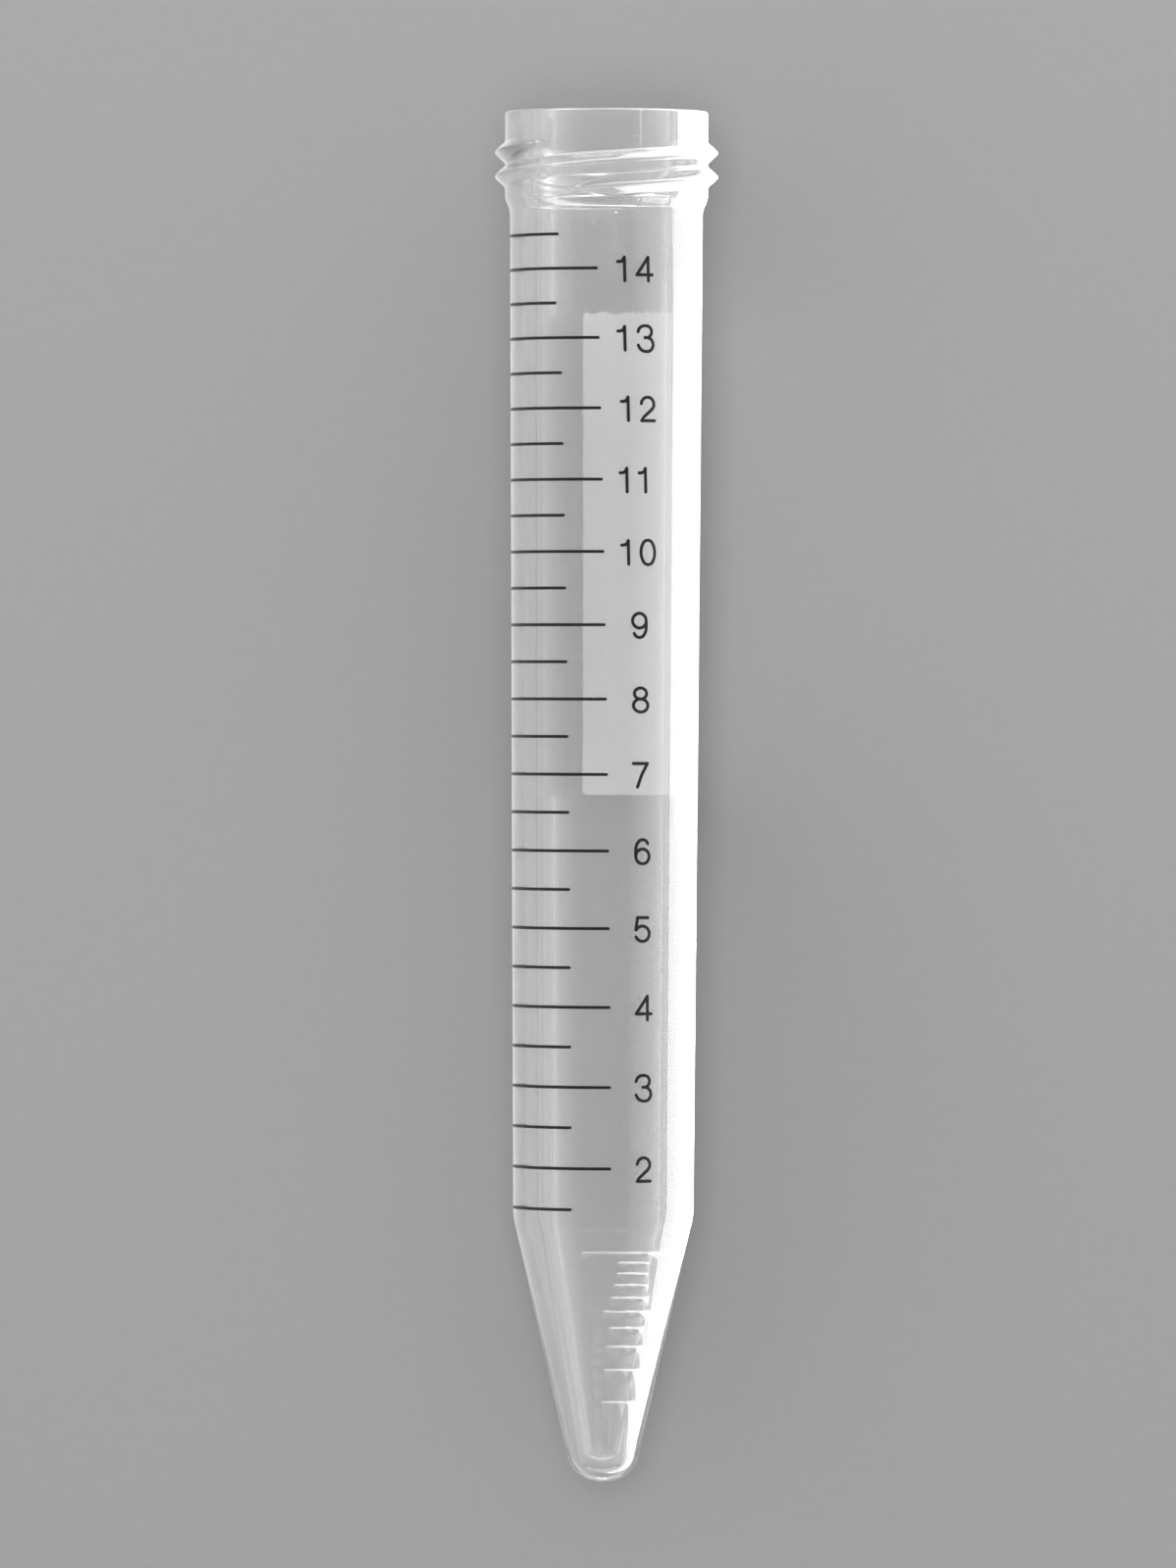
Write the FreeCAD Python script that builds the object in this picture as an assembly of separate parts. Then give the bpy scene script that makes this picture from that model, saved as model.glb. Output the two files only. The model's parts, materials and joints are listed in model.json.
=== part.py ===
"""15 ml conical centrifuge tube without its cap, lying on its side as it comes to rest.

The tube is one injection moulding: a rounded tip, a cone, a long body with a slight draft, and a wider neck
that carries a two-start screw thread. The volume scale and the writing patch are screen-printed on the body.

Everything is drawn upright first, in millimetres: the tip at the origin, the axis along +Z, and angles
measured from the side that carries the scale (-Y), positive towards +X. The last step lays it down on the
plane z = 0, mouth towards +Y, with the scale facing up, in the roll at which it comes to rest.
"""

import FreeCAD, Part

import math
import os

from FreeCAD import Placement, Rotation, Vector

# Tube, outside
TUBE_LENGTH = 119.0
NECK_RADIUS = 8.80
NECK_FLARE = 1.05  # height of the cone that joins the neck to the body
BODY_TOP_RADIUS = 8.36
BODY_FOOT_RADIUS = 7.84
SHOULDER_HEIGHT = 23.0  # where the body meets the cone
TIP_FOOT_RADIUS = 2.56  # the cone's radius carried down to the tip plane
TIP_ROUNDING = 2.55
RIM_BEVEL = 0.25

# Tube, wall
WALL_TOP = 1.00
WALL_FOOT = 1.18
WALL_TIP = 1.24
FLOOR_THICKNESS = 1.3
INNER_SHOULDER_DROP = 0.87  # the cavity turns into its cone this far below the outer shoulder

# Screw thread
THREAD_STARTS = 2
THREAD_PITCH = 2.10  # from one crest to the next
THREAD_HEIGHT = 0.88
THREAD_BASE = 1.72  # width of a ridge where it leaves the neck
THREAD_CREST = 0.20  # width of its flat crest
THREAD_TURN = 360.0  # degrees that each ridge goes round
THREAD_RUN_OUT = 40.0  # degrees over which a ridge rises out of the neck, at each end
THREAD_START_ANGLE = -30.0  # where the first ridge begins, at its upper end
THREAD_RIM_LAND = 1.99  # plain neck between the rim and the first ridge
THREAD_FOOT_LAND = 0.10  # plain neck below the last full ridge
THREAD_ROOT_SINK = 0.45  # how deep a ridge is rooted in the neck wall
RUN_OUT_SINK = 0.12  # how far a ridge's crest ends below the neck's surface
SECTION_STEP = 12.0  # degrees between two sections of a ridge

FULL_ROUND = math.inf  # as round as the edges beside the corner have room for
SHORTEST_EDGE = 1e-6

# Print
INK_THICKNESS = 0.04
SCALE_FIRST_ML = 2
SCALE_LAST_ML = 14
SCALE_STEP_ML = 1
LINE_WIDTH = 0.25
LINE_LENGTH = 12.6  # measured round the body
LINE_START_ANGLE = -90.0  # at the middle of the body
PRINT_LEAN = 0.5  # degrees that the print leans off the axis
PATCH_WIDTH = 18.0
PATCH_LENGTH = 42.4
PATCH_FOOT_HEIGHT = 59.5
PATCH_START_ANGLE = 68.0

# Rest
REST_ROLL = 3.0  # degrees that the scale leans from straight up towards +X

# Worked out from the above
THREAD_LEAD = THREAD_STARTS * THREAD_PITCH
FULL_THREAD_DROP = THREAD_LEAD * (THREAD_TURN - THREAD_RUN_OUT) / 360.0
NECK_LENGTH = THREAD_RIM_LAND + THREAD_BASE + FULL_THREAD_DROP + THREAD_FOOT_LAND
NECK_FOOT_HEIGHT = TUBE_LENGTH - NECK_LENGTH
BODY_TOP_HEIGHT = NECK_FOOT_HEIGHT - NECK_FLARE
THREAD_TOP_HEIGHT = TUBE_LENGTH - THREAD_RIM_LAND - THREAD_BASE / 2
MOUTH_RADIUS = BODY_TOP_RADIUS - WALL_TOP
CAVITY_FOOT_RADIUS = BODY_FOOT_RADIUS - WALL_FOOT
CAVITY_TIP_RADIUS = TIP_FOOT_RADIUS - WALL_TIP
CAVITY_TIP_RADIUS += (BODY_FOOT_RADIUS - TIP_FOOT_RADIUS) * FLOOR_THICKNESS / SHOULDER_HEIGHT
CAVITY_SHOULDER_HEIGHT = SHOULDER_HEIGHT - INNER_SHOULDER_DROP


def body_radius(height):
    """Outer radius of the drafted body at a height."""
    share = (height - SHOULDER_HEIGHT) / (BODY_TOP_HEIGHT - SHOULDER_HEIGHT)
    return BODY_FOOT_RADIUS + share * (BODY_TOP_RADIUS - BODY_FOOT_RADIUS)


def around(radius, angle, height):
    """A point at an angle from the scale's side."""
    a = math.radians(angle)
    return Vector(radius * math.sin(a), -radius * math.cos(a), height)


def rounded_outline(corners):
    """Edges through (radius, height, rounding) corners, each corner replaced by its tangent arc."""
    points = [Vector(radius, 0, height) for radius, height, _ in corners]
    last = len(points) - 1
    edges = []
    here = points[0]
    for i in range(1, last):
        back = points[i - 1] - points[i]
        ahead = points[i + 1] - points[i]
        half_turn = (math.pi - back.getAngle(ahead)) / 2
        room_back = back.Length if i == 1 else back.Length / 2
        room_ahead = ahead.Length if i == last - 1 else ahead.Length / 2
        reach = min(corners[i][2] * math.tan(half_turn), room_back, room_ahead)
        rounding = reach / math.tan(half_turn)
        back.normalize()
        ahead.normalize()
        if rounding > 0:
            inward = back + ahead
            inward.normalize()
            centre = points[i] + inward * (rounding / math.cos(half_turn))
            arc_start = points[i] + back * reach
            arc_end = points[i] + ahead * reach
            if here.distanceToPoint(arc_start) > SHORTEST_EDGE:
                edges.append(Part.LineSegment(here, arc_start).toShape())
            edges.append(Part.Arc(arc_start, centre - inward * rounding, arc_end).toShape())
            here = arc_end
        else:
            edges.append(Part.LineSegment(here, points[i]).toShape())
            here = points[i]
    if here.distanceToPoint(points[-1]) > SHORTEST_EDGE:
        edges.append(Part.LineSegment(here, points[-1]).toShape())
    return edges, here


def moulded_wall():
    """The tube without its thread: one revolved section, outside up and inside down."""
    outline = [
        (0, 0, 0),
        (TIP_FOOT_RADIUS, 0, TIP_ROUNDING),
        (BODY_FOOT_RADIUS, SHOULDER_HEIGHT, 0),
        (BODY_TOP_RADIUS, BODY_TOP_HEIGHT, 0),
        (NECK_RADIUS, NECK_FOOT_HEIGHT, 0),
        (NECK_RADIUS, TUBE_LENGTH - RIM_BEVEL, 0),
        (NECK_RADIUS - RIM_BEVEL, TUBE_LENGTH, 0),
        (MOUTH_RADIUS + RIM_BEVEL, TUBE_LENGTH, 0),
        (MOUTH_RADIUS, TUBE_LENGTH - RIM_BEVEL, 0),
        (MOUTH_RADIUS, NECK_FOOT_HEIGHT, 0),
        (CAVITY_FOOT_RADIUS, CAVITY_SHOULDER_HEIGHT, 0),
        (CAVITY_TIP_RADIUS, FLOOR_THICKNESS, FULL_ROUND),
        (0, FLOOR_THICKNESS, 0),
    ]
    edges, floor = rounded_outline(outline)
    edges.append(Part.LineSegment(floor, Vector(0, 0, 0)).toShape())
    section = Part.Face(Part.Wire(edges))
    return section.revolve(Vector(0, 0, 0), Vector(0, 0, 1), 360)


def crest_radius(turned):
    """Radius of a ridge's crest after it has turned that many degrees from its upper end."""
    from_end = min(turned, THREAD_TURN - turned)
    share = min(1.0, from_end / THREAD_RUN_OUT)
    rise = share * share * (3 - 2 * share)
    return NECK_RADIUS - RUN_OUT_SINK + rise * (THREAD_HEIGHT + RUN_OUT_SINK)


def crest_height(turned):
    """Height of a ridge's crest line on the upright tube."""
    return THREAD_TOP_HEIGHT - THREAD_LEAD * turned / 360.0


def ridge_section(start_angle, turned):
    """A ridge cut across by a plane through the axis: a trapezium whose base is buried in the neck."""
    slope = (THREAD_BASE - THREAD_CREST) / 2 / THREAD_HEIGHT
    root = NECK_RADIUS - THREAD_ROOT_SINK
    crest = crest_radius(turned)
    crest_half = THREAD_CREST / 2
    root_half = crest_half + (crest - root) * slope
    middle = crest_height(turned)
    angle = start_angle - turned
    return Part.makePolygon(
        [
            around(root, angle, middle - root_half),
            around(crest, angle, middle - crest_half),
            around(crest, angle, middle + crest_half),
            around(root, angle, middle + root_half),
            around(root, angle, middle - root_half),
        ]
    )


def thread_ridge(start_angle):
    """One start of the thread, lofted through its sections from the upper end to the lower one."""
    steps = math.ceil(THREAD_TURN / SECTION_STEP)
    sections = [ridge_section(start_angle, THREAD_TURN * i / steps) for i in range(steps + 1)]
    return Part.makeLoft(sections, True, False)


def tube():
    """The whole moulding as one solid."""
    starts = [THREAD_START_ANGLE + 360.0 * i / THREAD_STARTS for i in range(THREAD_STARTS)]
    return moulded_wall().fuse([thread_ridge(angle) for angle in starts])


def ink_band(low, high, start_angle, arc_length):
    """A thin field of ink on the body, from one height to another, measured round the body's middle line."""
    section = Part.makePolygon(
        [
            around(body_radius(low), 0, low),
            around(body_radius(high), 0, high),
            around(body_radius(high) + INK_THICKNESS, 0, high),
            around(body_radius(low) + INK_THICKNESS, 0, low),
            around(body_radius(low), 0, low),
        ]
    )
    sweep = math.degrees(arc_length / body_radius((low + high) / 2))
    band = Part.Face(section).revolve(Vector(0, 0, 0), Vector(0, 0, 1), sweep)
    band.rotate(Vector(0, 0, 0), Vector(0, 0, 1), start_angle)
    return band


def cavity_volume(height):
    """Millilitres that the upright tube holds up to a height."""

    def frustum(low_radius, high_radius, rise):
        return math.pi * rise * (low_radius**2 + low_radius * high_radius + high_radius**2) / 3000

    def between(low_radius, high_radius, low, high, level):
        radius = low_radius + (high_radius - low_radius) * (level - low) / (high - low)
        return frustum(low_radius, radius, level - low)

    shoulder = CAVITY_SHOULDER_HEIGHT
    cone_level = min(height, shoulder)
    volume = between(CAVITY_TIP_RADIUS, CAVITY_FOOT_RADIUS, FLOOR_THICKNESS, shoulder, cone_level)
    if height > shoulder:
        volume += between(CAVITY_FOOT_RADIUS, MOUTH_RADIUS, shoulder, NECK_FOOT_HEIGHT, height)
    return volume


def height_of(millilitres):
    """Height of the liquid's surface for a volume, found by halving."""
    low = FLOOR_THICKNESS
    high = TUBE_LENGTH
    for _ in range(50):
        middle = (low + high) / 2
        if cavity_volume(middle) < millilitres:
            low = middle
        else:
            high = middle
    return (low + high) / 2


def lean_angle(height, start_angle):
    """The start angle of a printed field, turned a little with height because the print leans."""
    offset = (height - (SHOULDER_HEIGHT + BODY_TOP_HEIGHT) / 2) * math.tan(math.radians(PRINT_LEAN))
    return start_angle - math.degrees(offset / body_radius(height))


def scale_lines():
    """The volume scale: a line at each full millilitre."""
    lines = []
    for millilitres in range(SCALE_FIRST_ML, SCALE_LAST_ML + 1, SCALE_STEP_ML):
        height = height_of(millilitres)
        start = lean_angle(height, LINE_START_ANGLE)
        lines.append(ink_band(height - LINE_WIDTH / 2, height + LINE_WIDTH / 2, start, LINE_LENGTH))
    return Part.makeCompound(lines)


def writing_patch():
    """The white field for handwriting."""
    return ink_band(PATCH_FOOT_HEIGHT, PATCH_FOOT_HEIGHT + PATCH_LENGTH, PATCH_START_ANGLE, PATCH_WIDTH)


def rest_tilt():
    """Degrees that the mouth is raised when the tube lies on its thread and its shoulder."""
    lowest_side = 180.0 - REST_ROLL
    tilts = []
    for i in range(THREAD_STARTS):
        turned = (THREAD_START_ANGLE + 360.0 * i / THREAD_STARTS - lowest_side) % 360.0
        if turned <= THREAD_TURN:
            rise = crest_radius(turned) - BODY_FOOT_RADIUS
            tilts.append(math.degrees(math.atan2(rise, crest_height(turned) - SHOULDER_HEIGHT)))
    return max(tilts)


def laid_down(shapes):
    """The upright shapes rolled, turned onto their side and set on z = 0, centred over the origin."""
    roll = Rotation(Vector(0, 0, 1), REST_ROLL)
    down = Rotation(Vector(1, 0, 0), rest_tilt() - 90.0)
    turn = Placement(Vector(0, 0, 0), down.multiply(roll))
    for shape in shapes.values():
        shape.Placement = turn.multiply(shape.Placement)
    box = shapes["tube"].optimalBoundingBox(False, False)
    to_floor = Vector(-(box.XMin + box.XMax) / 2, -(box.YMin + box.YMax) / 2, -box.ZMin)
    for shape in shapes.values():
        shape.translate(to_floor)
    return shapes


def main():
    os.makedirs("parts", exist_ok=True)
    pieces = laid_down({"tube": tube(), "scale_lines": scale_lines(), "writing_patch": writing_patch()})
    for name, shape in pieces.items():
        shape.exportStep(f"parts/{name}.step")
    print("tilt %.3f degrees" % rest_tilt())
    print("cavity to 2 ml %.2f mm, to 14 ml %.2f mm" % (height_of(2), height_of(14)))


main()
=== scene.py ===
"""Looks of the 15 ml conical tube: its clear moulding, its printed scale and patch, and a plain studio.

Everything is drawn on the upright tube first, in millimetres: the tip at the origin, the axis along
+Z, and angles in degrees from the side that carries the scale (-Y), positive towards +X. Each finished
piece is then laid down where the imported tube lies, in metres. Print is drawn flat, x round the wall and
y up it, and then wrapped on the wall.
"""

import json
import math
import random

import bmesh
import bpy
from mathutils import Matrix, Vector, noise


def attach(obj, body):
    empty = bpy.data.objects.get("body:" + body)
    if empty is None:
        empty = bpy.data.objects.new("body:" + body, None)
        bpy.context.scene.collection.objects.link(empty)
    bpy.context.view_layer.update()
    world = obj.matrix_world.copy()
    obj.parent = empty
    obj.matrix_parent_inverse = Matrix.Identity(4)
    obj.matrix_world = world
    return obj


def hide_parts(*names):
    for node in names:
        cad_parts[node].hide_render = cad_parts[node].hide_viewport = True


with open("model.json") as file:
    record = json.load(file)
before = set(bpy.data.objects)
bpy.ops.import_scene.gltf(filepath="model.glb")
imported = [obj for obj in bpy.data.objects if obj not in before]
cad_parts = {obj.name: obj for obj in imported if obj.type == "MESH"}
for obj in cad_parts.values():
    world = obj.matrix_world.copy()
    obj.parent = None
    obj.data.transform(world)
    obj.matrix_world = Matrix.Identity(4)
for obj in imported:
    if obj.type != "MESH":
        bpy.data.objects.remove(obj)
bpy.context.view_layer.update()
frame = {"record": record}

MM = 0.001
CUBIC_MM_PER_ML = 1000
SAME_PLACE = 1e-4  # two heights or vertices closer than this are the same
CUT_SNAP = 1e-5
SHARP_EDGE = math.radians(40)
HALVINGS = 40

# Moulding, outside
TUBE_LENGTH = 119.0
NECK_RADIUS = 8.80
NECK_FOOT_HEIGHT = 111.457
BODY_TOP_RADIUS = 8.36
BODY_TOP_HEIGHT = 110.407
BODY_FOOT_RADIUS = 7.84
SHOULDER_HEIGHT = 23.0
TIP_FOOT_RADIUS = 2.56

# Moulding, cavity
MOUTH_RADIUS = 7.36
CAVITY_FOOT_RADIUS = 6.66
CAVITY_SHOULDER_HEIGHT = 22.13
CAVITY_TIP_RADIUS = 1.618
FLOOR_THICKNESS = 1.3
HALF_BODY_WALL = 0.5
HALF_CONE_WALL = 0.6

# Moulding, rounded corners
TIP_ROUNDING = 2.55
SHOULDER_ROUNDING = 6.0
FLARE_ROUNDING = 1.2
RIM_ROUNDING = 0.25
CAVITY_SHOULDER_ROUNDING = 5.0
CAVITY_TIP_ROUNDING = 2.0
CORNER_STEPS = 6

# Screw thread
THREAD_STARTS = 2
THREAD_LEAD = 4.2
THREAD_HEIGHT = 0.875
THREAD_TOP_HEIGHT = 116.15
THREAD_START_ANGLE = -30.0
THREAD_RUN_OUT = 40.0
RUN_OUT_SINK = 0.14
FLANK_SLOPE = 1.16
CREST_ROUNDING = 0.13
ROOT_FILLET = 0.10
THREAD_ZONE = (111.7, 117.3)
THREAD_ROWS = 104

# Fine marks of the mould
PARTING_ANGLE = 19.2  # degrees
PARTING_HALF_WIDTH = 0.9  # degrees
PARTING_RISE = 0.053
PARTING_FOOT_HEIGHT = 110.6  # the seams and the thread stand above this
CONE_LINE_WIDTH = 0.22
CONE_LINE_RISE = 0.096
CONE_LINE_MIDDLE = 22.0  # degrees
CONE_LINE_LENGTHS = {10: 9.45, 9: 2.95, 8: 3.05, 7: 3.25, 6: 3.7, 5: 4.85}  # by tenths of a millilitre
SMALL_LINE_LENGTH = 3.55
WITNESS_RINGS = (23.15, 110.1)
WITNESS_WIDTH = 0.10
WITNESS_RISE = 0.021
WITNESS_SCATTER = (-1.2, 1.0)  # a dot stands out where its draw is above nought
WITNESS_SEED = 4
COLUMNS = 360
BODY_ROWS = 8
CONE_LINE_TENTHS = range(1, 11)

# Print
INK_RISE = 0.022
INK_ROOT = 0.012  # how deep print is bedded in the wall, so that no air shows under it
PRINTED_HALVES = range(3, 30)  # the scale's lines, in half millilitres
LINE_WIDTH = 0.26
LONG_LINE = 12.72
SHORT_LINE = 9.25
WORN_LINE = 27  # in half millilitres
WORN_LENGTH = 0.4
LINE_START_ANGLE = -90.0
PRINT_LEAN = 0.5  # degrees
PRINT_BOW = 0.3  # how far the printed scale bends sideways between its middle and its ends
PRINT_SHIFT = 0.2
NUMBERED = range(2, 15)  # millilitres with a number
NUMERAL_OFFSET = 15.7  # from a line's start to the middle of its number
NUMBER_SHIFTS = {
    14: 0.28, 13: 0.15, 12: 0.30, 11: 0.05, 10: 0.06,
    7: -0.08, 5: -0.09, 3: -0.15, 2: -0.07,
}
NUMBER_DROP = 0.06
DIGIT_HEIGHT = 2.04
DIGIT_ADVANCE = 1.70
DIGIT_STROKE = 0.285
PEN_STEP = 0.4
PEN_ARC_STEP = 12  # degrees
PEN_CAP_STEPS = 6
PEN_GAP = 1e-3  # ends of a stroke closer than this meet in a ring
PATCH_WIDTH = 18.2
PATCH_LENGTH = 42.4
PATCH_FOOT_HEIGHT = 59.5
PATCH_START_ANGLE = 68.0
PATCH_CORNER = 0.45
PATCH_CORNER_STEPS = 5
PATCH_EDGE_STEP = 0.3
PATCH_RAGGEDNESS = 0.045
PATCH_EDGE_WAVES = (0.9, 3.7)  # waves a millimetre of its coarse and its fine unevenness

# Rest and view
REST_ROLL = 3.0
EYE_DISTANCE = 1150.0
EYE_HEIGHT = 67.8
AIM_HEIGHT = 60.6
AIM_SIDE = -1.45
VIEW_ROLL = 0.17
VIEW_HEIGHT = 136.3
SENSOR_MM = 36.0
NEAREST_SEEN = 0.01

# Studio, in metres
FLOOR_REACH = 4.0
FLOOR_CELLS = 8
LEFT = (-1, 0, 0)
RIGHT = (1, 0, 0)
MOUTH_END = (0, 1, 0)
TIP_END = (0, -1, 0)
LAMP_DISTANCE = 0.62
LAMP_LIFT = 0.01
LAMP_FADE = (2.0, 0.0)  # strengths at the lower and the upper edge of a lamp that fades
ABOVE_SIZE = 0.3
ABOVE_RADIANCE = 6.8
TABLE_LAMP_SPAN = (0.0085, 0.45)  # from the tube's middle
TABLE_LAMP_LENGTH = 1.0
TABLE_LAMP_HEIGHT = 0.004
WORLD_GREY = 0.8
WORLD_STRENGTH = 0.2
LIGHT_BOUNCES = 24
GLOSSY_BOUNCES = 12


# --- where things are -------------------------------------------------------------------------------

def laid_down():
    """The matrix from the upright tube, in millimetres, to the lying one, from the mouth's mount."""
    mouth = next(mount for mount in frame["record"]["mounts"] if mount["name"] == "mouth")
    axis = Vector(mouth["axis"])
    mount_height = TUBE_LENGTH - RIM_ROUNDING - mouth["dims"]["length_mm"] / 2
    tip = Vector(mouth["pos_m"]) - axis * (mount_height * MM)
    down = Matrix.Rotation(math.atan2(axis.z, axis.y) - math.pi / 2, 4, "X")
    roll = Matrix.Rotation(math.radians(REST_ROLL), 4, "Z")
    return Matrix.Translation(tip) @ down @ roll @ Matrix.Scale(MM, 4)


LAID = laid_down()


def body_radius(height):
    """Outer radius of the drafted body at a height."""
    share = (height - SHOULDER_HEIGHT) / (BODY_TOP_HEIGHT - SHOULDER_HEIGHT)
    return BODY_FOOT_RADIUS + share * (BODY_TOP_RADIUS - BODY_FOOT_RADIUS)


def cone_radius(height):
    """Outer radius of the cone at a height."""
    return TIP_FOOT_RADIUS + (BODY_FOOT_RADIUS - TIP_FOOT_RADIUS) * height / SHOULDER_HEIGHT


def wall_middle(height):
    """Radius of the middle of the wall, which parts its outside from its cavity side."""
    if height > NECK_FOOT_HEIGHT:
        return (NECK_RADIUS + MOUTH_RADIUS) / 2
    if height > SHOULDER_HEIGHT:
        return body_radius(height) - HALF_BODY_WALL
    return cone_radius(height) - HALF_CONE_WALL


def is_outside(point):
    """Whether a point lies on the outer side of the wall."""
    return math.hypot(point.x, point.y) > wall_middle(point.z)


def angle_of(point):
    """Degrees round the axis from the scale's side, positive towards +X."""
    return math.degrees(math.atan2(point.x, -point.y))


def cavity_volume(height):
    """Millilitres that the upright tube holds up to a height."""
    stages = (
        (FLOOR_THICKNESS, CAVITY_TIP_RADIUS, CAVITY_SHOULDER_HEIGHT, CAVITY_FOOT_RADIUS),
        (CAVITY_SHOULDER_HEIGHT, CAVITY_FOOT_RADIUS, NECK_FOOT_HEIGHT, MOUTH_RADIUS),
    )
    volume = 0.0
    for low, low_radius, high, high_radius in stages:
        rise = min(height, high) - low
        if rise > 0:
            radius = low_radius + (high_radius - low_radius) * rise / (high - low)
            squares = low_radius**2 + low_radius * radius + radius**2
            volume += math.pi * rise * squares / (3 * CUBIC_MM_PER_ML)
    return volume


def height_of(millilitres):
    """Height of the liquid's surface for a volume, found by halving."""
    low = FLOOR_THICKNESS
    high = TUBE_LENGTH
    for _ in range(HALVINGS):
        middle = (low + high) / 2
        if cavity_volume(middle) < millilitres:
            low = middle
        else:
            high = middle
    return (low + high) / 2


CONE_LINE_HEIGHTS = {tenths: height_of(tenths / 10) for tenths in CONE_LINE_TENTHS}


def scale_angle(across, height):
    """Degrees round the wall for a place in the printed scale, which leans and bows a little."""
    above = height - (SHOULDER_HEIGHT + BODY_TOP_HEIGHT) / 2
    lean = above * math.tan(math.radians(PRINT_LEAN))
    bow = PRINT_SHIFT - PRINT_BOW * (2 * above / (BODY_TOP_HEIGHT - SHOULDER_HEIGHT)) ** 2
    return LINE_START_ANGLE + math.degrees((across - lean + bow) / body_radius(height))


def patch_angle(across, height):
    """Degrees round the wall for a place in the writing patch, whose sides run straight up."""
    return PATCH_START_ANGLE + math.degrees(across / body_radius(PATCH_FOOT_HEIGHT + PATCH_LENGTH / 2))


# --- materials --------------------------------------------------------------------------------------

class Nodes:
    """A node tree with short ways to add and link nodes."""

    def __init__(self, tree):
        self.tree = tree
        self.count = 0

    def add(self, kind, **values):
        """A new node, placed in rows, with its own settings."""
        node = self.tree.nodes.new(kind)
        node.location = (220 * (self.count % 6) - 1400, -260 * (self.count // 6))
        self.count += 1
        for name, value in values.items():
            setattr(node, name, value)
        return node

    def put(self, node, **inputs):
        """Sets or links inputs by name, with _ for a space."""
        for name, value in inputs.items():
            socket = node.inputs[name.replace("_", " ")]
            if isinstance(value, bpy.types.NodeSocket):
                self.tree.links.new(value, socket)
            else:
                socket.default_value = value
        return node

    def noise(self, vector, scale, detail=3.0, roughness=0.5):
        node = self.put(self.add("ShaderNodeTexNoise"), Vector=vector, Scale=scale, Detail=detail,
                        Roughness=roughness)
        return node.outputs["Fac"]

    def ramp(self, value, low, high, to_low=0.0, to_high=1.0):
        node = self.put(self.add("ShaderNodeMapRange", clamp=True), Value=value, From_Min=low,
                        From_Max=high, To_Min=to_low, To_Max=to_high)
        return node.outputs["Result"]

    def mix(self, factor, first, second):
        node = self.add("ShaderNodeMix", data_type="RGBA")
        sockets = (node.inputs[0], node.inputs[6], node.inputs[7])
        for socket, value in zip(sockets, (factor, first, second)):
            if isinstance(value, bpy.types.NodeSocket):
                self.tree.links.new(value, socket)
            else:
                socket.default_value = value
        return node.outputs[2]

    def bump(self, height, strength, distance):
        node = self.put(self.add("ShaderNodeBump"), Height=height, Strength=strength, Distance=distance)
        return node.outputs["Normal"]


def surface_wear():
    """Handling marks: fine mottling, specks of dust and soft drag marks along the tube, as masks."""
    group = bpy.data.node_groups.new("surface_wear", "ShaderNodeTree")
    for name, socket in (("Vector", "NodeSocketVector"), ("Scale", "NodeSocketFloat")):
        group.interface.new_socket(name, in_out="INPUT", socket_type=socket)
    for name in ("Mottle", "Specks", "Drags"):
        group.interface.new_socket(name, in_out="OUTPUT", socket_type="NodeSocketFloat")
    nodes = Nodes(group)
    inlet = nodes.add("NodeGroupInput")
    outlet = nodes.add("NodeGroupOutput")
    scaled = nodes.add("ShaderNodeVectorMath", operation="SCALE")
    group.links.new(inlet.outputs["Vector"], scaled.inputs[0])
    group.links.new(inlet.outputs["Scale"], scaled.inputs["Scale"])
    place = scaled.outputs[0]
    mottle = nodes.noise(place, 1.0, 4.0, 0.6)
    specks = nodes.ramp(nodes.noise(place, 9.0, 1.0), 0.74, 0.80)
    stretched = nodes.put(nodes.add("ShaderNodeMapping"), Vector=place, Scale=(6.0, 0.35, 6.0))
    drags = nodes.ramp(nodes.noise(stretched.outputs[0], 1.6, 2.0), 0.55, 0.72)
    for name, value in (("Mottle", mottle), ("Specks", specks), ("Drags", drags)):
        group.links.new(value, outlet.inputs[name])
    return group


WEAR = surface_wear()


def new_material(name):
    """An empty material with its nodes, its shader and the place on the object."""
    material = bpy.data.materials.new(name)
    material.use_nodes = True
    nodes = Nodes(material.node_tree)
    shader = material.node_tree.nodes["Principled BSDF"]
    place = nodes.add("ShaderNodeTexCoord").outputs["Object"]
    return material, nodes, shader, place


def wear_masks(nodes, place, scale):
    """The shared wear in one material, at its own scale."""
    wear = nodes.add("ShaderNodeGroup", node_tree=WEAR)
    nodes.put(wear, Vector=place, Scale=scale)
    return wear.outputs


def clear_plastic():
    """Clear moulded plastic: a faint milky body, soft drag marks and a surface that isn't quite flat."""
    material, nodes, shader, place = new_material("clear_plastic")
    wear = wear_masks(nodes, place, 700.0)
    roughness = nodes.ramp(wear["Drags"], 0.0, 1.0, 0.06, 0.11)
    colour = nodes.mix(wear["Mottle"], (0.93, 0.935, 0.94, 1), (0.98, 0.98, 0.98, 1))
    waves = nodes.noise(place, 260.0, 2.0)
    nodes.put(shader, Base_Color=colour, Roughness=roughness, IOR=1.49, Transmission_Weight=0.92,
              Sheen_Weight=0.35, Sheen_Roughness=0.3, Normal=nodes.bump(waves, 0.05, 0.0002))
    see_through = nodes.put(nodes.add("ShaderNodeBsdfTransparent"), Color=(0.97, 0.97, 0.97, 1))
    shadow = nodes.add("ShaderNodeLightPath").outputs["Is Shadow Ray"]
    either = nodes.add("ShaderNodeMixShader")
    links = material.node_tree.links
    links.new(shadow, either.inputs[0])
    links.new(shader.outputs[0], either.inputs[1])
    links.new(see_through.outputs[0], either.inputs[2])
    links.new(either.outputs[0], material.node_tree.nodes["Material Output"].inputs["Surface"])
    return material


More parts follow.
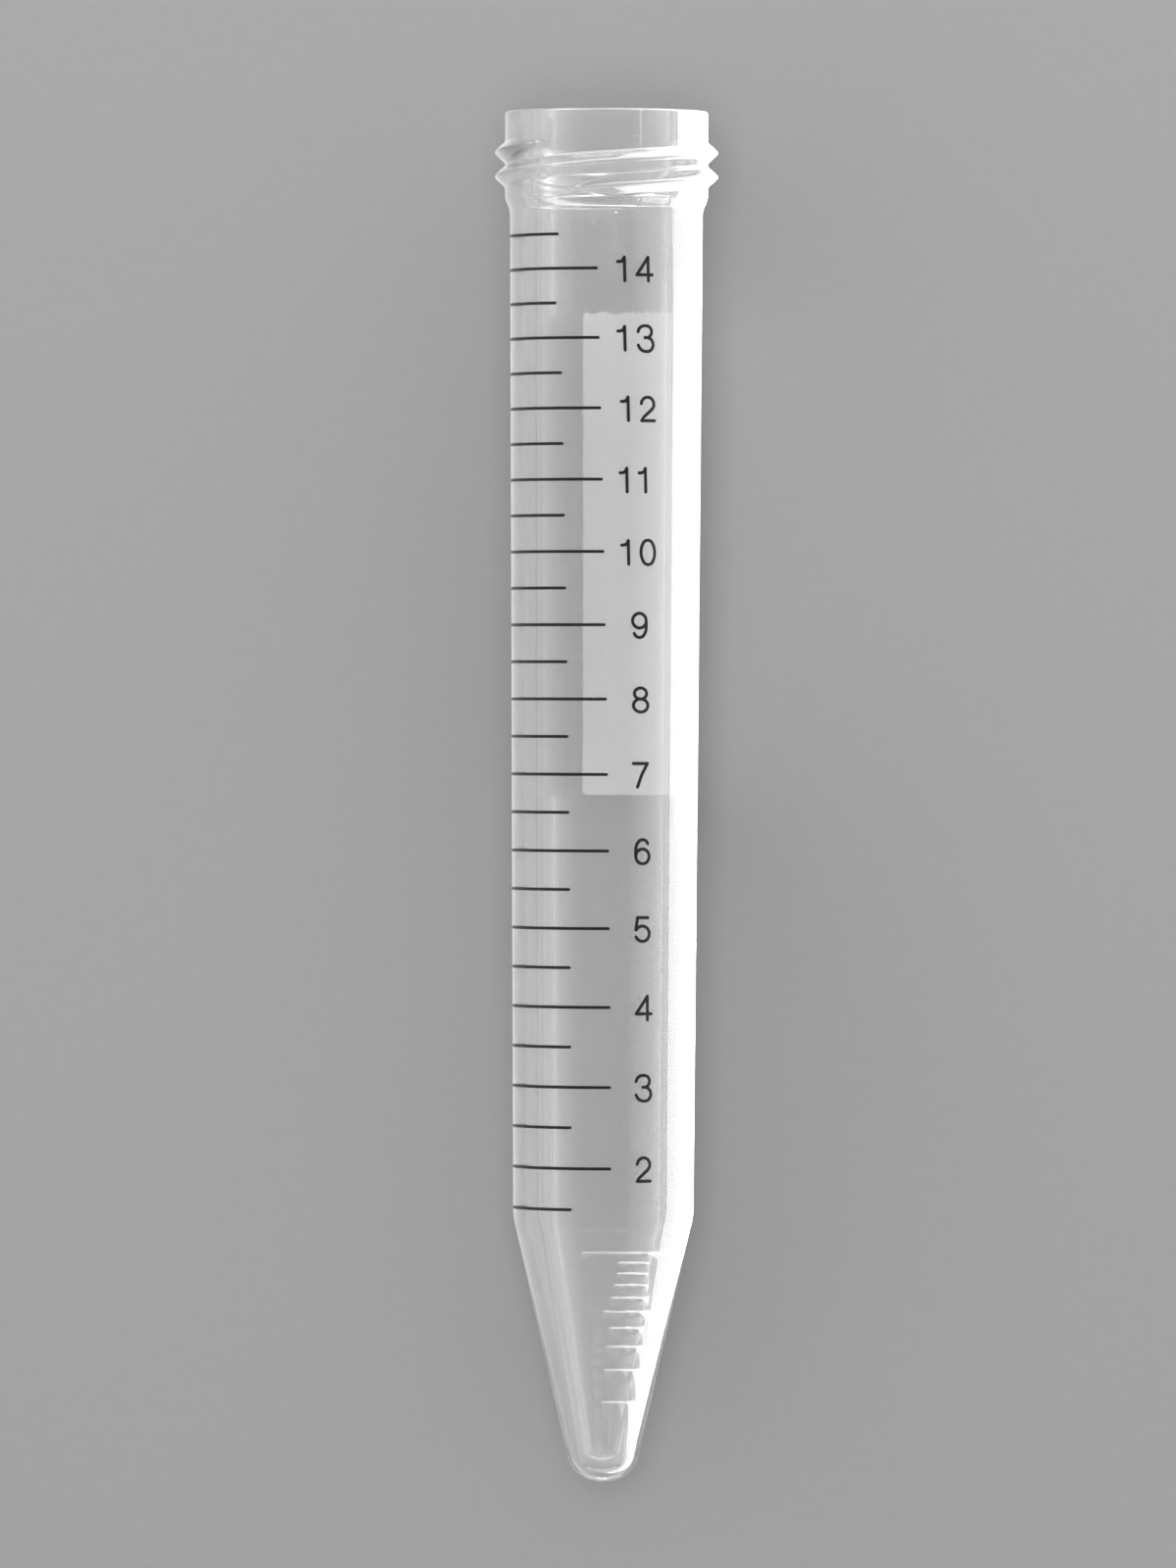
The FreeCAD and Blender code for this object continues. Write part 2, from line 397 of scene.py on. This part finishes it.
def ink(name, thin, full, roughness, gloss, scale, glow=0.0):
    """Printed ink: it thins in specks, its surface is finely pitted, and light may glow through."""
    material, nodes, shader, place = new_material(name)
    wear = wear_masks(nodes, place, scale)
    cover = nodes.mix(wear["Mottle"], thin, full)
    colour = nodes.mix(wear["Specks"], cover, thin)
    nodes.put(shader, Base_Color=colour, Roughness=nodes.ramp(wear["Mottle"], 0.3, 0.7, *roughness),
              Specular_IOR_Level=gloss, Normal=nodes.bump(wear["Mottle"], 0.35, 0.00003))
    if glow:
        nodes.put(shader, Subsurface_Weight=glow, Subsurface_Radius=(1, 1, 1),
                  Subsurface_Scale=INK_RISE * MM)
    return material


# --- from a bmesh to a piece ------------------------------------------------------------------------

def piece(name, bm, material, stands_for=None):
    """Lays a finished bmesh down, makes it an object and lets it ride with the tube."""
    for face in bm.faces:
        face.smooth = True
    for edge in bm.edges:
        edge.smooth = edge.calc_face_angle(0) < SHARP_EDGE
    bmesh.ops.transform(bm, matrix=LAID, verts=bm.verts)
    mesh = bpy.data.meshes.new(name)
    bm.to_mesh(mesh)
    bm.free()
    made = bpy.data.objects.new(name, mesh)
    bpy.context.scene.collection.objects.link(made)
    made.data.materials.append(material)
    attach(made, "root")
    if stands_for:
        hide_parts(stands_for)


# --- the moulding -----------------------------------------------------------------------------------

def section_line(bm):
    """The wall's section as one line: up the outside, over the rim and down to the cavity's floor."""
    corners = [
        (0.0, 0.0, 0.0),
        (TIP_FOOT_RADIUS, 0.0, TIP_ROUNDING),
        (BODY_FOOT_RADIUS, SHOULDER_HEIGHT, SHOULDER_ROUNDING),
        (BODY_TOP_RADIUS, BODY_TOP_HEIGHT, FLARE_ROUNDING),
        (NECK_RADIUS, NECK_FOOT_HEIGHT, FLARE_ROUNDING),
        (NECK_RADIUS, TUBE_LENGTH, RIM_ROUNDING),
        (MOUTH_RADIUS, TUBE_LENGTH, RIM_ROUNDING),
        (MOUTH_RADIUS, NECK_FOOT_HEIGHT, 0.0),
        (CAVITY_FOOT_RADIUS, CAVITY_SHOULDER_HEIGHT, CAVITY_SHOULDER_ROUNDING),
        (CAVITY_TIP_RADIUS, FLOOR_THICKNESS, CAVITY_TIP_ROUNDING),
        (0.0, FLOOR_THICKNESS, 0.0),
    ]
    verts = [bm.verts.new((radius, 0.0, height)) for radius, height, _ in corners]
    for low, high in zip(verts, verts[1:]):
        bm.edges.new((low, high))
    reaches = []
    for i in range(1, len(verts) - 1):
        back = verts[i].co - verts[i - 1].co
        ahead = verts[i + 1].co - verts[i].co
        reaches.append(corners[i][2] * math.tan(back.angle(ahead) / 2))
    for vert, reach in zip(verts[1:], reaches):
        if reach > 0:
            bmesh.ops.bevel(bm, geom=[vert], affect="VERTICES", offset=reach, offset_type="OFFSET",
                            segments=CORNER_STEPS, profile=0.5, material=-1)


def cut_row(bm, height):
    """Adds a row of vertices to the outside of the section at a height."""
    edges = [e for e in bm.edges if all(is_outside(v.co) for v in e.verts)]
    verts = list(dict.fromkeys(v for e in edges for v in e.verts))
    bmesh.ops.bisect_plane(bm, geom=verts + edges, plane_co=(0, 0, height), plane_no=(0, 0, 1),
                           dist=CUT_SNAP)


def thread_rise(angle, height):
    """How far the thread stands off the neck: rounded crests, straight flanks and filleted roots."""
    rise = 0.0
    for i in range(THREAD_STARTS):
        turned = (THREAD_START_ANGLE + 360.0 * i / THREAD_STARTS - angle) % 360.0
        share = min(1.0, turned / THREAD_RUN_OUT, (360.0 - turned) / THREAD_RUN_OUT)
        crest = share * share * (3 - 2 * share) * (THREAD_HEIGHT + RUN_OUT_SINK) - RUN_OUT_SINK
        off = height - (THREAD_TOP_HEIGHT - THREAD_LEAD * turned / 360.0)
        flank = crest + FLANK_SLOPE * (CREST_ROUNDING - math.hypot(off, CREST_ROUNDING))
        if flank > ROOT_FILLET:
            rise = max(rise, flank)
        elif flank > -ROOT_FILLET:
            rise = max(rise, (flank + ROOT_FILLET) ** 2 / (4 * ROOT_FILLET))
    return rise


def parting_rise(angle):
    """How far the two seams of the neck's mould halves stand off."""
    off = abs((angle - PARTING_ANGLE + 90) % 180 - 90)
    return PARTING_RISE * max(0.0, 1 - off / PARTING_HALF_WIDTH)


def push_out(vert, rise):
    """Moves a vertex away from the axis."""
    share = 1 + rise / math.hypot(vert.co.x, vert.co.y)
    vert.co.x *= share
    vert.co.y *= share


def mark_wall(bm):
    """Raises the thread, the seams, the cone's lines and the dotted rings from the spun wall."""
    draw = random.Random(WITNESS_SEED)
    ring_dots = [[draw.uniform(*WITNESS_SCATTER) for _ in range(COLUMNS)] for _ in WITNESS_RINGS]
    for vert in bm.verts:
        if not is_outside(vert.co):
            continue
        angle = angle_of(vert.co)
        height = vert.co.z
        rise = 0.0
        if PARTING_FOOT_HEIGHT < height < TUBE_LENGTH - RIM_ROUNDING / 2:
            rise = thread_rise(angle, height) + parting_rise(angle)
        elif height < SHOULDER_HEIGHT:
            rise = cone_line_rise(angle, height)
        column = round(angle * COLUMNS / 360) % COLUMNS
        for ring, dots in zip(WITNESS_RINGS, ring_dots):
            if abs(height - ring) < SAME_PLACE:
                rise += WITNESS_RISE * max(0.0, dots[column])
        if rise > 0:
            push_out(vert, rise)


def cone_line_rise(angle, height):
    """The moulded lines of the small volumes on the cone: the longest at 1 ml, the next at 0.5 ml."""
    for tenths, line_height in CONE_LINE_HEIGHTS.items():
        if abs(height - line_height) < SAME_PLACE:
            length = CONE_LINE_LENGTHS.get(tenths, SMALL_LINE_LENGTH)
            if abs(angle - CONE_LINE_MIDDLE) < math.degrees(length / 2 / cone_radius(height)):
                return CONE_LINE_RISE
    return 0.0


def tube_moulding(material):
    """The whole moulding: its section spun round, with the thread and the fine marks of its mould."""
    bm = bmesh.new()
    section_line(bm)
    for line_height in CONE_LINE_HEIGHTS.values():
        for side in (-1, 0, 1):
            cut_row(bm, line_height + side * CONE_LINE_WIDTH / 2)
    for ring in WITNESS_RINGS:
        for side in (-1, 0, 1):
            cut_row(bm, ring + side * WITNESS_WIDTH / 2)
    for i in range(1, BODY_ROWS):
        cut_row(bm, SHOULDER_HEIGHT + (BODY_TOP_HEIGHT - SHOULDER_HEIGHT) * i / BODY_ROWS)
    low, high = THREAD_ZONE
    for i in range(THREAD_ROWS + 1):
        cut_row(bm, low + (high - low) * i / THREAD_ROWS)
    bmesh.ops.spin(bm, geom=bm.verts[:] + bm.edges[:], cent=(0, 0, 0), axis=(0, 0, 1), angle=2 * math.pi,
                   steps=COLUMNS, use_merge=True)
    bmesh.ops.remove_doubles(bm, verts=bm.verts, dist=SAME_PLACE)
    for side in (-1, 0, 1):
        angle = math.radians(PARTING_ANGLE + side * PARTING_HALF_WIDTH)
        bmesh.ops.bisect_plane(bm, geom=bm.verts[:] + bm.edges[:] + bm.faces[:], plane_co=(0, 0, 0),
                               plane_no=(math.cos(angle), math.sin(angle), 0), dist=SAME_PLACE)
    bmesh.ops.recalc_face_normals(bm, faces=bm.faces)
    mark_wall(bm)
    bm.normal_update()
    piece("tube_moulding", bm, material, stands_for="tube")


# --- the print --------------------------------------------------------------------------------------

class Pen:
    """Draws flat strokes of one width, each with round ends or closed in a ring."""

    def __init__(self, bm, width):
        self.bm = bm
        self.width = width

    def spin(self, geom, centre, turn, steps):
        """Sweeps a stroke's end round a centre, in degrees to the left, and gives back its new end."""
        made = bmesh.ops.spin(self.bm, geom=geom, cent=centre, axis=(0, 0, 1), angle=math.radians(turn),
                              steps=steps)
        return made["geom_last"]

    def stroke(self, x, y, heading, moves):
        """Draws from a point along a heading: a number is a run, a pair an arc's radius and left turn."""
        bm = self.bm
        first = math.radians(heading)
        side = Vector((-math.sin(first), math.cos(first), 0)) * self.width / 2
        start = Vector((x, y, 0))
        drawn_before = set(bm.verts)
        verts = [bm.verts.new(start + side * share) for share in (1, 0, -1)]
        edges = [bm.edges.new(verts[:2]), bm.edges.new(verts[1:])]
        first_end = (verts[1], verts[0], edges[0])
        geom = verts + edges
        place = start
        for move in moves:
            if isinstance(move, tuple):
                radius, turn = move
                left = math.copysign(90, turn)
                across = math.radians(heading + left)
                centre = place + Vector((math.cos(across), math.sin(across), 0)) * radius
                steps = max(2, round(abs(turn) / PEN_ARC_STEP))
                geom = self.spin(geom, centre, turn, steps)
                place = centre + Matrix.Rotation(math.radians(turn), 3, "Z") @ (place - centre)
                heading += turn
            else:
                ahead = Vector((math.cos(math.radians(heading)), math.sin(math.radians(heading)), 0))
                steps = max(1, math.ceil(move / PEN_STEP))
                for _ in range(steps):
                    edges = [item for item in geom if isinstance(item, bmesh.types.BMEdge)]
                    made = bmesh.ops.extrude_edge_only(bm, edges=edges)["geom"]
                    geom = [item for item in made if not isinstance(item, bmesh.types.BMFace)]
                    verts = [item for item in geom if isinstance(item, bmesh.types.BMVert)]
                    bmesh.ops.translate(bm, verts=verts, vec=ahead * (move / steps))
                place = place + ahead * move
        if (place - start).length > PEN_GAP:
            to_left = Matrix.Rotation(math.radians(heading + 90), 3, "Z")
            left_side = to_left @ Vector((self.width / 2, 0, 0))
            verts = [item for item in geom if isinstance(item, bmesh.types.BMVert)]
            middle = min(verts, key=lambda v: (v.co - place).length)
            left = min(verts, key=lambda v: (v.co - place - left_side).length)
            edge = next(e for e in middle.link_edges if e.other_vert(middle) == left)
            self.cap(*first_end, 180)
            self.cap(middle, left, edge, -180)
        drawn = [vert for vert in bm.verts if vert not in drawn_before]
        bmesh.ops.remove_doubles(bm, verts=drawn, dist=PEN_GAP)

    def cap(self, middle, side, edge, turn):
        """Closes a stroke's end with a half disc."""
        self.spin([middle, side, edge], middle.co.copy(), turn, PEN_CAP_STEPS)


def oval(wide, tall, end_turn=90.0):
    """An oval of four arcs, drawn leftwards from its top: the ends' arcs turn by end_turn each."""
    sine = math.sin(math.radians(end_turn / 2))
    cosine = math.cos(math.radians(end_turn / 2))
    apart = (wide - tall) / 2 / (sine + cosine - 1)
    side = tall / 2 - apart * (1 - cosine)
    end = side + apart
    side_turn = 180 - end_turn
    half_end = (end, end_turn / 2)
    return [half_end, (side, side_turn), (end, end_turn), (side, side_turn), half_end]


def digit_strokes(digit):
    """Strokes of a plain light numeral in its cell: start, heading and moves of each."""
    hook = [(0.513, 121), (1.1, 40), 0.5]
    bowl = oval(1.26, 1.27)
    return {
        "0": [(0.85, 2.07, 180, oval(1.33, 2.10, 120))],
        "1": [(0.16, 1.64, 2, [0.20, (0.36, 78)]), (0.75, 2.04, 270, [2.04])],
        "2": [(0.25, 1.47, 86, [(0.60, -226), 0.97, (0.46, 42)]), (0.24, 0.0, 0, [1.24])],
        "3": [(0.25, 1.60, 82, [(0.60, -82), 0.17, (0.51, -180), 0.14]),
              (1.00, 1.10, 0, [0.05, (0.60, -180), 0.11, (0.72, -76)])],
        "4": [(1.20, 0.0, 90, [2.03]), (1.20, 2.03, 234.7, [1.85]), (0.13, 0.52, 0, [1.44])],
        "5": [(0.42, 2.03, 0, [0.98]), (0.42, 2.03, 260.8, [1.06]), (0.288, 0.97, 60, [(0.66, -305)])],
        "6": [(0.85, 1.25, 180, bowl), (1.355, 1.715, 109, hook)],
        "7": [(0.17, 2.03, 0, [1.32]), (1.49, 2.03, 235.7, [(7.18, 18)])],
        "8": [(0.85, 2.05, 180, oval(1.14, 0.96)), (0.85, 1.11, 180, oval(1.34, 1.14))],
        "9": [(0.85, 2.08, 180, bowl), (0.345, 0.345, 289, hook)],
    }[digit]


def draw_number(pen, text, x, y):
    """Draws a number with its middle at a point."""
    start = x - DIGIT_ADVANCE * len(text) / 2
    for i, digit in enumerate(text):
        for stroke_x, stroke_y, heading, moves in digit_strokes(digit):
            pen.stroke(start + i * DIGIT_ADVANCE + stroke_x, y - DIGIT_HEIGHT / 2 + stroke_y,
                       heading, moves)


def wrap_print(bm, angle_at):
    """Gives flat print its thickness and wraps it on the wall, at the angle given for each place."""
    bmesh.ops.recalc_face_normals(bm, faces=bm.faces)
    flipped = [face for face in bm.faces if face.normal.z < 0]
    bmesh.ops.reverse_faces(bm, faces=flipped)
    bmesh.ops.solidify(bm, geom=bm.faces[:], thickness=INK_RISE + INK_ROOT)
    top = max(vert.co.z for vert in bm.verts)
    for vert in bm.verts:
        radius = body_radius(vert.co.y) + vert.co.z - top + INK_RISE
        angle = math.radians(angle_at(vert.co.x, vert.co.y))
        vert.co = (radius * math.sin(angle), -radius * math.cos(angle), vert.co.y)


def volume_lines(material):
    """The printed scale: long lines at full millilitres and short ones at the halves."""
    bm = bmesh.new()
    pen = Pen(bm, LINE_WIDTH)
    for half_millilitres in PRINTED_HALVES:
        length = SHORT_LINE if half_millilitres % 2 else LONG_LINE
        if half_millilitres == WORN_LINE:
            length -= WORN_LENGTH
        pen.stroke(LINE_WIDTH / 2, height_of(half_millilitres / 2), 0, [length - LINE_WIDTH])
    wrap_print(bm, scale_angle)
    piece("volume_lines", bm, material, stands_for="scale_lines")


def numerals(material):
    """The numbers beside the long lines."""
    bm = bmesh.new()
    pen = Pen(bm, DIGIT_STROKE)
    for millilitres in NUMBERED:
        across = NUMERAL_OFFSET + NUMBER_SHIFTS.get(millilitres, 0.0)
        draw_number(pen, str(millilitres), across, height_of(millilitres) - NUMBER_DROP)
    wrap_print(bm, scale_angle)
    piece("numerals", bm, material)


def writing_patch(material):
    """The white field for handwriting, with rounded corners and a slightly uneven edge."""
    bm = bmesh.new()
    corners = [(0, 0), (PATCH_WIDTH, 0), (PATCH_WIDTH, PATCH_LENGTH), (0, PATCH_LENGTH)]
    verts = [bm.verts.new((x, y + PATCH_FOOT_HEIGHT, 0)) for x, y in corners]
    bm.faces.new(verts)
    bmesh.ops.bevel(bm, geom=verts, affect="VERTICES", offset=PATCH_CORNER, offset_type="OFFSET",
                    segments=PATCH_CORNER_STEPS, profile=0.5, material=-1)
    for length, across in ((PATCH_WIDTH, Vector((1, 0, 0))), (PATCH_LENGTH, Vector((0, 1, 0)))):
        cuts = round(length / PATCH_EDGE_STEP)
        for i in range(1, cuts):
            place = across * (length * i / cuts) + Vector((0, PATCH_FOOT_HEIGHT, 0))
            bmesh.ops.bisect_plane(bm, geom=bm.verts[:] + bm.edges[:] + bm.faces[:], plane_co=place,
                                   plane_no=across, dist=SAME_PLACE)
    middle = Vector((PATCH_WIDTH / 2, PATCH_FOOT_HEIGHT + PATCH_LENGTH / 2, 0))
    for vert in bm.verts:
        if vert.is_boundary:
            coarse, fine = (noise.noise(vert.co * waves) for waves in PATCH_EDGE_WAVES)
            inward = (middle - vert.co).normalized()
            vert.co += inward * PATCH_RAGGEDNESS * (1 + coarse + fine)
    wrap_print(bm, patch_angle)
    piece("writing_patch_print", bm, material, stands_for="writing_patch")


# --- the studio -------------------------------------------------------------------------------------

def floor():
    """A large plain floor under the tube."""
    bm = bmesh.new()
    bmesh.ops.create_grid(bm, x_segments=FLOOR_CELLS, y_segments=FLOOR_CELLS, size=FLOOR_REACH)
    mesh = bpy.data.meshes.new("floor")
    bm.to_mesh(mesh)
    bm.free()
    made = bpy.data.objects.new("floor", mesh)
    bpy.context.scene.collection.objects.link(made)
    material, nodes, shader, place = new_material("floor_paper")
    grain = nodes.noise(place, 900.0, 3.0)
    colour = nodes.mix(grain, (0.27, 0.27, 0.272, 1), (0.29, 0.29, 0.292, 1))
    nodes.put(shader, Base_Color=colour, Roughness=nodes.ramp(grain, 0.3, 0.7, 0.55, 0.65),
              Specular_IOR_Level=0.4)
    made.data.materials.append(material)


def area_lamp(name, across, along, radiance, lights, shines):
    """A lamp that the camera doesn't see: it lights matt surfaces, shows as a shine, or does both."""
    data = bpy.data.lights.new(name, "AREA")
    data.shape = "RECTANGLE"
    data.size = across
    data.size_y = along
    data.energy = radiance * math.pi * across * along
    made = bpy.data.objects.new(name, data)
    made.visible_camera = False
    made.visible_diffuse = lights
    made.visible_glossy = shines
    made.visible_transmission = lights and shines
    bpy.context.scene.collection.objects.link(made)
    return made


def side_lamp(name, toward, low, high, length, radiance, fades=False, lights=True, shines=True):
    """A lamp that faces the tube from one side, between two elevations in degrees."""
    middle = math.radians((low + high) / 2)
    along = 2 * LAMP_DISTANCE * math.tan(math.radians(high - low) / 2)
    made = area_lamp(name, length, along, radiance, lights, shines)
    made.location = Vector(toward) * LAMP_DISTANCE * math.cos(middle)
    made.location.z = LAMP_DISTANCE * math.sin(middle) + LAMP_LIFT
    made.rotation_euler = (Vector((0, 0, LAMP_LIFT)) - made.location).to_track_quat("-Z", "Y").to_euler()
    if fades:
        made.data.use_nodes = True
        nodes = Nodes(made.data.node_tree)
        place = nodes.add("ShaderNodeNewGeometry").outputs["Parametric"]
        height = nodes.put(nodes.add("ShaderNodeSeparateXYZ"), Vector=place).outputs["Y"]
        strength = nodes.ramp(height, 0.0, 1.0, *LAMP_FADE)
        nodes.put(made.data.node_tree.nodes["Emission"], Strength=strength)


def table_lamp(name, side, radiance):
    """A light box flat on the floor beside the tube, which only draws bright edges on its wall."""
    start, end = TABLE_LAMP_SPAN
    made = area_lamp(name, end - start, TABLE_LAMP_LENGTH, radiance, False, True)
    made.location = (side * (start + end) / 2, 0, TABLE_LAMP_HEIGHT)
    made.rotation_euler = (math.pi, 0, 0)


def studio():
    """Soft lamps on all sides and above: the low ones draw the walls' bright edges."""
    floor()
    side_lamp("left_wide", LEFT, 1, 54, 1.3, 0.95, fades=True)
    side_lamp("right_key", RIGHT, 0, 14, 1.3, 1.8, fades=True)
    side_lamp("right_edge", RIGHT, 0, 14, 1.3, 4.0, fades=True, lights=False)
    side_lamp("right_wide", RIGHT, 1, 56, 1.3, 0.85, fades=True)
    side_lamp("mouth_high", MOUTH_END, 36, 62, 0.9, 2.2)
    side_lamp("mouth_low", MOUTH_END, 1, 20, 0.9, 4.0)
    side_lamp("mouth_edge", MOUTH_END, 0, 38, 1.6, 6.0, lights=False)
    side_lamp("tip_low", TIP_END, 1, 15, 0.9, 3.0)
    above = area_lamp("above", ABOVE_SIZE, ABOVE_SIZE, ABOVE_RADIANCE, True, False)
    above.location = (0, 0, LAMP_DISTANCE)
    table_lamp("right_table", 1, 9.5)
    table_lamp("left_table", -1, 0.7)
    world = bpy.data.worlds.new("studio")
    world.use_nodes = True
    background = world.node_tree.nodes["Background"]
    background.inputs["Color"].default_value = (WORLD_GREY, WORLD_GREY, WORLD_GREY, 1)
    background.inputs["Strength"].default_value = WORLD_STRENGTH
    bpy.context.scene.world = world


def camera():
    """Looks down on the scale, from a little nearer the mouth than the tube's middle."""
    data = bpy.data.cameras.new("camera")
    data.sensor_fit = "VERTICAL"
    data.sensor_height = SENSOR_MM
    data.lens = SENSOR_MM * EYE_DISTANCE / VIEW_HEIGHT
    data.clip_start = NEAREST_SEEN
    made = bpy.data.objects.new("camera", data)
    bpy.context.scene.collection.objects.link(made)
    eye = Vector((AIM_SIDE, -EYE_DISTANCE, EYE_HEIGHT))
    aim = Vector((AIM_SIDE, 0, AIM_HEIGHT))
    turn = (aim - eye).to_track_quat("-Z", "Y").to_matrix().to_4x4()
    turn = turn @ Matrix.Rotation(math.radians(VIEW_ROLL), 4, "Z")
    unscaled = LAID.to_3x3().normalized().to_4x4()
    made.matrix_world = Matrix.Translation(LAID @ eye) @ unscaled @ turn
    bpy.context.scene.camera = made


def main():
    """Makes the tube, its print, the studio and the camera."""
    tube_moulding(clear_plastic())
    black = ink("black_ink", thin=(0.020, 0.020, 0.020, 1), full=(0.005, 0.005, 0.005, 1),
                roughness=(0.35, 0.45), gloss=0.15, scale=2600.0)
    white = ink("white_ink", thin=(0.84, 0.84, 0.84, 1), full=(0.90, 0.90, 0.90, 1),
                roughness=(0.55, 0.7), gloss=0.15, scale=1500.0, glow=0.4)
    volume_lines(black)
    numerals(black)
    writing_patch(white)
    studio()
    camera()
    scene = bpy.context.scene
    scene.view_settings.view_transform = "Standard"
    scene.cycles.caustics_refractive = False
    scene.cycles.caustics_reflective = False
    scene.cycles.max_bounces = LIGHT_BOUNCES
    scene.cycles.transmission_bounces = LIGHT_BOUNCES
    scene.cycles.transparent_max_bounces = LIGHT_BOUNCES
    scene.cycles.glossy_bounces = GLOSSY_BOUNCES


main()
